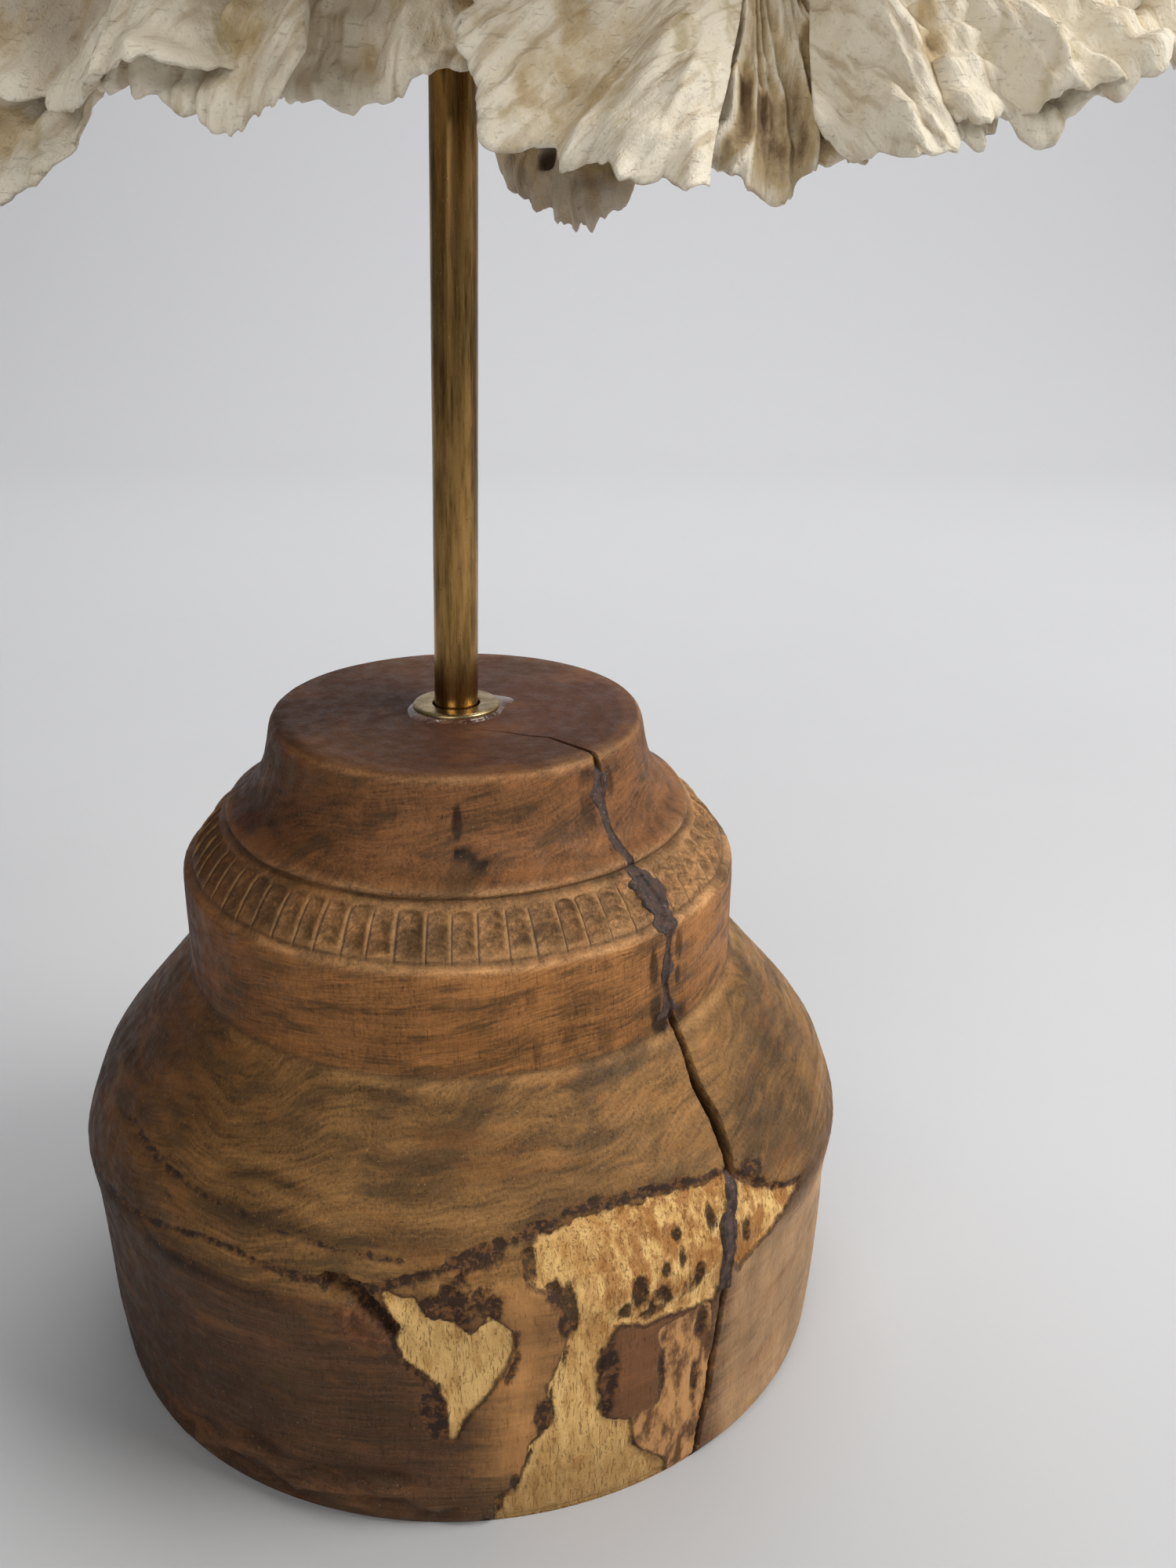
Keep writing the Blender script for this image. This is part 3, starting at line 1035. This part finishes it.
# What is special about some of them, in this order: how far the corners are cut back and
# the power of that curve, how much longer one side is, crisp pleats, lumps, ripples that
# cross the pleats (spacing and height in mm), how grey it is, how deeply stained its
# hollows are, how thick the plate is, and holes as place across and out, then radius in mm.
CORNER_CUT = {"coral_under": (0.5, 2)}
SLANT = {"coral_front_left": -0.16, "coral_under": 0.05}
PLEATED = {"coral_front_centre": 7}
LUMPY = {"coral_under": 1.5, "coral_left_inner": 1.2}
RIPPLES = {"coral_far_right": (6.0, 0.7)}
GREYER = {"coral_under": 0.9, "coral_left_inner": 0.05, "coral_far_left": 0.25,
          "coral_left_plate": 0.1}
STAINED = {"coral_front_centre": 1.9, "coral_under": 1.9, "coral_front_right": 1.2,
           "coral_left_inner": 1.2}
THICKNESS = {"coral_under": 2.3, "coral_left_lobe": 1.7, "coral_left_inner": 1.4}
HOLES = {
    "coral_under": [(-0.05, 0.66, 2.6), (0.32, 0.80, 2.1), (-0.3, 0.55, 1.6), (0.25, 0.62, 1.3)],
    "coral_left_lobe": [(0.35, 0.86, 1.1)],
    "coral_left_inner": [(0.55, 0.9, 1.0)],
    "coral_far_left": [(0.5, 0.9, 0.9)],
}
FINE_FRONDS = 9  # the first ones, which face the camera closely, have a finer mesh
FROND_START = 0.1


def unit(v):
    return v / np.linalg.norm(v)


def frond_frame(root, tip, face, curl):
    """The frame of a frond: root, reach, direction at the root, seen side and across."""
    root = np.array(root, float)
    chord = np.array(tip, float) - root
    half = curl / 2
    reach = np.linalg.norm(chord) * half / math.sin(half)
    ahead = unit(chord)
    face = np.array(face, float)
    face = unit(face - ahead * face.dot(ahead))
    along = ahead * math.cos(half) - face * math.sin(half)
    up = ahead * math.sin(half) + face * math.cos(half)
    return root, reach, along, up, np.cross(along, up)


def pleat_height(w, s, pleats, seed):
    """Radiating ridges in about -1..1, uneven, wandering, and more of them near the rim."""
    drift = 0.10 * noise(stack(w * 2.3 + seed, s * 2.6, 0 * w), 3)
    drift = drift + 0.03 * noise(stack(w * 6 + seed, s * 6, 0 * w), 4)
    total = 0
    for level, (low, high) in enumerate(((-0.3, 0.3), (0.1, 0.6), (0.45, 0.9))):
        count = pleats * (1, 2.3, 4.6)[level]
        across = (w + drift) * count / 2 + 3.7 * seed + 11 * level
        broad = noise(stack(across, s * 1.5 + level, 0 * s + seed), 5 + level)
        sharp = 1 - 2.6 * abs(noise(stack(across * 0.9 + 5, s * 1.2, 0 * s + seed), 9 + level))
        height = 0.7 + 0.8 * noise(stack(across * 0.4, s * 3.0, 0 * s + level), 14)
        amount = smooth(low, high, s) * (1.0, 0.55, 0.3)[level] * np.clip(height, 0.1, 1.6)
        total = total + amount * (0.75 * broad + 0.5 * np.maximum(sharp, -1))
    return total


def frond_surface(name, rows, columns):
    root, tip, face, spread, curl, waves, phase, pleats, high = FRONDS[name]
    seed = list(FRONDS).index(name) + 1
    spread, curl = math.radians(spread), math.radians(curl)
    root, reach, along, up, across = frond_frame(root, tip, face, curl)
    step = np.linspace(0, 1, rows)[:, None]
    s = FROND_START + (1 - FROND_START) * (step * 0.75 + 0.25 * np.sqrt(step))
    s = np.repeat(s, columns, 1).ravel()
    w = np.repeat(np.linspace(-1, 1, columns)[None, :], rows, 0).ravel()

    lobes = 0.075 * noise(stack(w * 2.6 + seed * 3.1, 0 * w, 0 * w), 11)
    lobes = lobes + 0.045 * noise(stack(w * 6.3 + seed, 0 * w, 0 * w), 12)
    teeth = 0.024 * noise(stack(w * 15 + seed, 0 * w, 0 * w), 13)
    teeth = teeth + 0.012 * noise(stack(w * 34 + seed, 0 * w, 0 * w), 14)
    crest = pleat_height(w, s, pleats, seed)
    cut, power = CORNER_CUT.get(name, (0.22, 4))
    if name in PLEATED:
        turn = w * PLEATED[name] + 1.1 * noise(stack(w * 3.5, s * 2.5, 0 * w), 31)
        fade = 0.6 + 0.7 * noise(stack(w * 5, s * 4, 0 * w), 32)
        crisp = 1 - 2 * abs(np.sin(np.pi * turn))
        crest = 0.75 * crest + fade * smooth(0.05, 0.5, s) * crisp
    outline = reach * (1 - cut * abs(w) ** power + SLANT.get(name, 0) * w + lobes)
    outline = outline * (1 + (teeth + 0.02 * crest) * smooth(0.8, 1, s))
    meander = 0.05 * noise(stack(w * 1.7 + seed, s * 2.4, 0 * w), 15) * s
    angle = (w + meander) * spread
    bend = curl * s
    run = outline * s * np.sin(bend) / bend
    rise = outline * s * (1 - np.cos(bend)) / bend

    local = stack(w * spread * outline * s, outline * s, 0 * s + seed * 40)
    fold = 0.06 * reach * s * s * np.sin(np.pi * waves * w + phase)
    ruffle = 0.03 * reach * s**4 * noise(stack(w * 5 + seed, s, 0 * w), 16)
    pleat = high * crest * smooth(0.05, 0.5, s)
    lumps = 2.8 * fbm(local, 17, 2, 17) + 2.1 * fbm(local, (4.6, 7, 1), 3, 19)
    lumps = lumps * LUMPY.get(name, 1)
    spacing, ripple_height = RIPPLES.get(name, (9.0, 0.12))
    beat = outline * s / spacing + 0.7 * noise(stack(w * 3 + seed, s * 2, 0 * w), 27)
    ripple = ripple_height * np.sin(2 * np.pi * beat) * smooth(0.2, 0.5, s)
    middle = fold + ruffle + pleat + (lumps + ripple) * smooth(0.1, 0.4, s)
    thick = mix(3.4, 1.05, s**0.8) * (1 - 0.5 * abs(w) ** 6) * THICKNESS.get(name, 1)
    thick = thick * (1 + 0.25 * fbm(local, 9, 2, 18))
    rim = np.sqrt(np.clip(1 - smooth(0.95, 1.0, s) ** 2 * 0.85, 0.05, 1))
    cavity = 0 * s
    for hole_w, hole_s, radius in HOLES.get(name, ()):
        centre = np.array([hole_w * spread * reach * hole_s, reach * hole_s])
        away = np.hypot(*(local[:, :2] - centre).T) + 0.9 * fbm(local, 2.5, 2, 28)
        cavity = np.maximum(cavity, smooth(radius * 1.15, radius * 0.55, away))

    radial = along * np.cos(angle)[:, None] + across * np.sin(angle)[:, None]
    sheets = []
    for side in (1, -1):
        ribs = 0.55 * fbm(local, (1.7, 9, 1), 3, 20 + side) + 0.65 * fbm(local, 3.8, 3, 23 + side)
        pits = smooth(0.50, 0.75, fbm(local, (5, 6.5, 1), 2, 29 + side))
        grains = 0.18 * fbm(local, 1.5, 2, 26 + side)
        skin = thick * rim + ribs + grains - 0.9 * pits * smooth(0.98, 0.8, s)
        skin = mix(skin, 0.2, cavity * (side > 0))
        lift = middle + side * np.maximum(skin, 0.22)
        point = root + radial * (run - lift * np.sin(bend))[:, None]
        point = point + up * (rise + lift * np.cos(bend))[:, None]
        sheets.append(point.reshape(rows, columns, 3))
    hollow = np.clip(0.5 - crest * 0.75 - 0.25 * fold / (0.06 * reach), 0, 1)
    return sheets[0], sheets[1], s, hollow, local, seed, cavity


def stained(points, s, hollow, seed):
    """How ochre (0..1) and how grey (0..1) the coral is at each point."""
    cloud = fbm(points, 26, 3, 91)
    streak = fbm(points, (7, 7, 16), 3, 92 + seed)
    ochre = hollow * (0.45 + 0.8 * smooth(-0.2, 0.5, cloud)) + 0.6 * smooth(0.1, 0.5, streak)
    ochre = ochre * (1 - 0.5 * smooth(0.8, 1, s))
    grey = smooth(0.0, 0.6, fbm(points, 18, 3, 97)) * 0.6 + 0.4 * (1 - s) ** 1.5
    return np.clip(ochre, 0, 1), np.clip(grey, 0, 1)


def build_frond(name, material):
    fine = list(FRONDS).index(name) < FINE_FRONDS
    rows, columns = (62, 144) if fine else (48, 104)
    front, back, s, hollow, local, seed, cavity = frond_surface(name, rows, columns)
    points, faces = shell(front, back)
    out = np.tile(s, 2)
    ochre, grey = stained(points, out, np.concatenate([hollow, 1 - hollow]), seed)
    ochre = ochre * STAINED.get(name, 1)
    grey = grey + 0.2 * smooth(12, -60, points[:, 0]) + GREYER.get(name, 0)
    fan = np.tile(local, (2, 1))
    piece = make_mesh(
        name + "_fine", points, outward_faces(points, faces), material,
        ochre=ochre, grey=grey, hole=np.concatenate([cavity, 0 * s]), fan=fan,
    )
    place(piece, "coral", name)


def build_core(material):
    """The middle of the colony: a lumpy, ribbed body that the fronds grow from."""
    rows, columns = 80, 140
    tilt = np.linspace(0, np.pi, rows)[1:-1]
    turn = np.arange(columns) * 2 * np.pi / columns
    tilt, turn = np.meshgrid(tilt, turn, indexing="ij")
    tilt, turn = tilt.ravel(), turn.ravel()
    ray = stack(np.sin(tilt) * np.cos(turn), np.sin(tilt) * np.sin(turn), np.cos(tilt))
    flat = ray * CORE_RADII
    ribs = 1 - abs(np.sin(turn * 17 + 1.5 * fbm(flat, 18, 2, 101))) ** 0.8
    lift = 1.8 * ribs + 2.4 * fbm(flat, 16, 3, 102) + 0.5 * fbm(flat, 4, 2, 103)
    points = CORE_CENTRE + flat * (1 + (lift / CORE_MEAN_RADIUS)[:, None])
    ends = CORE_CENTRE + np.array([[0, 0, 1], [0, 0, -1]]) * CORE_RADII
    points = np.concatenate([points, ends])
    size = (rows - 2) * columns
    ring = np.arange(columns)
    after = (ring + 1) % columns
    last = size - columns
    faces = [
        grid_quads(rows - 2, columns, wrap=True),
        np.stack([np.full(columns, size), after, ring], axis=1),
        np.stack([np.full(columns, size + 1), last + ring, last + after], axis=1),
    ]
    hollow = np.concatenate([1 - ribs, [0.5, 0.5]])
    inner = np.full(len(points), 0.3)
    ochre, grey = stained(points, inner, hollow, 0)
    piece = make_mesh("coral_core_fine", points, outward_faces(points, faces), material,
                      ochre=ochre, grey=grey, hole=0 * inner, fan=points)
    place(piece, "coral", "coral_core")


def coral_material():
    n = Nodes("bleached_coral")
    fan = n.attribute("fan", True)
    ridges = n.noise((0.9, 9, 1), 3, 0.6, vector=fan)
    furrows = n.noise((2.6, 14, 1), 3, 0.6, vector=fan)
    stain = n.attribute("ochre") * n.ramp(n.noise(5, 4, 0.65), 0.25, 0.75, 0.5, 1.3)
    pores = n.ramp(n.cells(0.85), 0.12, 0.30)
    threads = n.ramp(n.noise((2.6, 2.6, 0.5), 3, 0.6, distortion=0.6), 0.63, 0.70)
    cream = n.blend(n.noise(9, 3, 0.6), linear(222, 210, 186), linear(242, 234, 217))
    colour = n.layers(cream, (
        (n.ramp(n.attribute("grey"), 0.2, 1.3), 0.85, (140, 122, 106)),
        (n.ramp(stain, 0.25, 0.95), 0.7, (188, 160, 108)),
        (n.ramp(stain, 0.7, 1.8), 0.8, (112, 84, 58)),
        (n.ramp(furrows, 0.52, 0.34), 0.6, (172, 148, 112)),
        (n.ramp(n.noise((7, 7, 12), 3, 0.6), 0.58, 0.74), 0.6, (164, 148, 96)),
        (1.0 - pores, 0.12, (138, 116, 84)),
        (n.ramp(n.noise(0.9, 3, 0.6), 0.66, 0.74), 0.28, (120, 100, 74)),
        (threads, 0.16, (124, 104, 78)),
        (n.attribute("hole"), 0.92, (58, 42, 32)),
    ))
    fuzz = n.noise(0.55, 4, 0.7)
    height = fuzz * 0.7 + pores * 0.15 + ridges * 1.1 + furrows * 1.2
    height = height + n.noise(2.4, 3, 0.6) * 0.9 - threads * 0.3
    rough = n.ramp(fuzz, 0.3, 0.7, 0.7, 0.9)
    return n.finish(colour, rough, n.bump(height, 0.45, 0.8), Specular_IOR_Level=0.25)


# ---- floor, light and camera -----------------------------------------------------------


def build_floor():
    """A seamless pale sweep: a floor that curves up into a wall behind."""
    n = Nodes("pale_sweep")
    depth = n.split(n.position)[1]
    near_tone = n.blend(n.noise(90, 3, 0.5), linear(184, 184, 185), linear(189, 189, 190))
    colour = n.blend(n.ramp(depth, 150, 1000), near_tone, linear(224, 224, 226))
    n.finish(colour, 0.9, n.bump(n.noise((1.6, 1.6, 1.6), 3), 0.1, 0.3))
    near, far, bend, wall, side = -900, 900, 400, 2200, 1800
    line = [(near, 0.0)]
    line += [(far + bend * math.sin(a), bend * (1 - math.cos(a)))
             for a in np.linspace(0, math.pi / 2, 24)]
    line.append((far + bend, wall))
    points = [(x, y, z) for y, z in line for x in (-side, side)]
    floor = make_mesh("pale_floor", np.array(points, float), [grid_quads(len(line), 2)], n.material)


def add_light(name, place_mm, target_mm, size_mm, power, colour):
    light = bpy.data.lights.new(name, "AREA")
    light.energy = power
    light.color = colour
    light.shape = "DISK"
    light.size = size_mm * MM
    lamp = bpy.data.objects.new(name, light)
    bpy.context.scene.collection.objects.link(lamp)
    lamp.location = Vector(place_mm) * MM
    aim = Vector(target_mm) * MM - lamp.location
    lamp.rotation_euler = aim.to_track_quat("-Z", "Y").to_euler()


def build_light():
    """A soft room that is lighter on the right and behind, and three large lamps."""
    world = bpy.data.worlds.new("soft_room")
    bpy.context.scene.world = world
    world.use_nodes = True
    tree = world.node_tree
    coords = tree.nodes.new("ShaderNodeTexCoord")
    split = tree.nodes.new("ShaderNodeSeparateXYZ")
    strength = tree.nodes.new("ShaderNodeMath")
    strength.operation = "MULTIPLY"
    tree.links.new(coords.outputs["Generated"], split.inputs[0])
    for axis, ends in enumerate(((-0.8, 0.9, 0.12, 0.52), (-0.9, 0.1, 0.35, 1.0))):
        fade = tree.nodes.new("ShaderNodeMapRange")
        for key, value in enumerate(ends, 1):
            fade.inputs[key].default_value = value
        tree.links.new(split.outputs[axis], fade.inputs[0])
        tree.links.new(fade.outputs[0], strength.inputs[axis])
    back = tree.nodes["Background"]
    back.inputs[0].default_value = (0.97, 0.98, 1.0, 1)
    tree.links.new(strength.outputs[0], back.inputs[1])
    add_light("window", (900, -250, 900), (0, 0, 150), 700, 12.5, (1, 0.99, 0.97))
    add_light("room", (-350, -1000, 620), (20, 0, 200), 700, 4.5, (1, 0.99, 0.97))
    add_light("sky", (100, 350, 1200), (0, 0, 150), 900, 9, (0.97, 0.98, 1))


def build_camera():
    camera = bpy.data.cameras.new("camera")
    camera.lens = 36
    camera.sensor_width = 36
    camera.clip_start, camera.clip_end = 0.01, 20
    eye = bpy.data.objects.new("camera", camera)
    bpy.context.scene.collection.objects.link(eye)
    eye.location = Vector((24.44, -274.17, 221.3)) * MM
    pitch, roll = math.radians(22.10), math.radians(0.36)
    tilt = Euler((math.pi / 2 - pitch, 0, 0)).to_matrix()
    turn = Euler((0, 0, roll)).to_matrix()
    eye.rotation_euler = (tilt @ turn).to_euler()
    bpy.context.scene.camera = eye


# ---- put together ----------------------------------------------------------------------

bpy.context.scene.view_settings.view_transform = "Standard"
build_camera()
build_floor()
build_light()

build_foot(wood_material())
filler = filler_material()
build_filler("crack_filler_fine", 124.4, 77.6,
             [(103, 3.2, 2.8), (98.4, 1.6, 2.8), (79.5, 3.2, 3.4), (119.5, 3.0, 1.8),
              (110, 1.6, 1.1), (90, 4, 1.2)],
             filler, "filler", "crack_filler")
build_filler("lower_filler", 57.5, 36.0, [(50, 5, 0.7), (38, 3, 0.9)], filler, "filler")

build_rod(brass_material("aged_brass_rod", (162, 124, 72), (66, 44, 22), (0.35, 0.35, 9)))
build_washer(brass_material("aged_brass_washer", (196, 176, 136), (146, 126, 92), 0.8))
build_glue(glue_material())

coral = coral_material()
build_core(coral)
for frond_name in FRONDS:
    build_frond(frond_name, coral)
